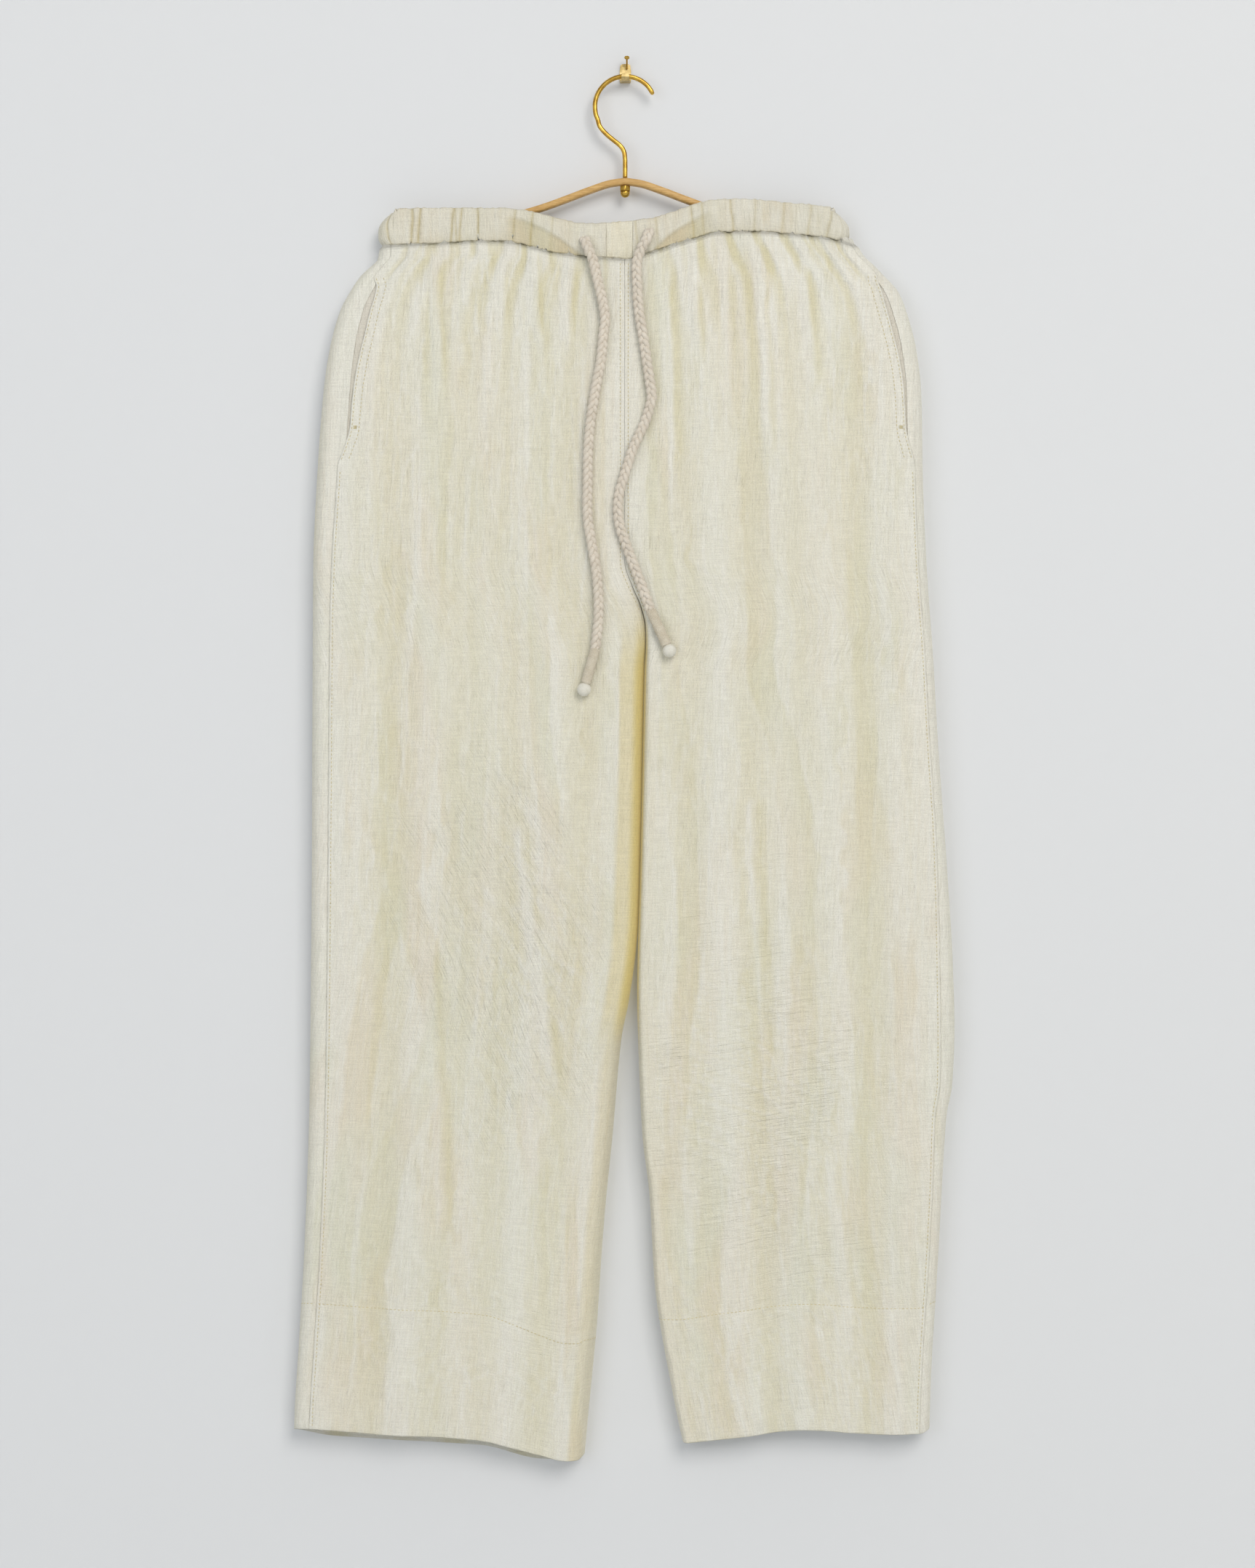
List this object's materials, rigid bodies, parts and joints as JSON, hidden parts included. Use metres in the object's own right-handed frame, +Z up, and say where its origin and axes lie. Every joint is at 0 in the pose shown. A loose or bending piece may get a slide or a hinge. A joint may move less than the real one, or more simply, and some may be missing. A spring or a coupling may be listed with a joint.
{
  "type": "trousers on hanger",
  "caption": "Wide straight trousers with a gathered drawstring waist, slanted side pockets and deep hems, hung flat on a hook-topped hanger from a wall hook.",
  "frame": {"origin": "underside of the hanger hook's crown, on the seat of the wall hook", "axes": "+Z up, +Y towards the wall behind, -Y the way the front of the trousers faces, +X towards the wearer's left"},
  "size_m": [0.5273, 0.0389, 1.1257],
  "materials": {
    "silk_cloth": "sheer crinkled cream silk with a soft sheen",
    "cotton_cord": "plaited matte cotton",
    "cotton_thread": "close-wound matte thread",
    "cord_ball": "off-white satin ball",
    "brass": "satin brass",
    "pale_wood": "pale bent wood, clear satin"
  },
  "bodies": {
    "root": {"front_panel_right": "silk_cloth", "front_panel_left": "silk_cloth", "back_panel_right": "silk_cloth", "back_panel_left": "silk_cloth", "pocket_bag_right": "silk_cloth", "pocket_bag_left": "silk_cloth", "waistband": "silk_cloth", "waistband_centre": "silk_cloth", "drawstring_right": "cotton_cord", "drawstring_left": "cotton_cord", "drawstring_wrap_right": "cotton_thread", "drawstring_wrap_left": "cotton_thread", "drawstring_bead_right": "cord_ball", "drawstring_bead_left": "cord_ball", "hanger_hook": "brass", "hanger_arm": "pale_wood", "hanger_nut": "brass", "wall_hook": "brass", "wall_nail": "brass"}
  },
  "joints": []
}
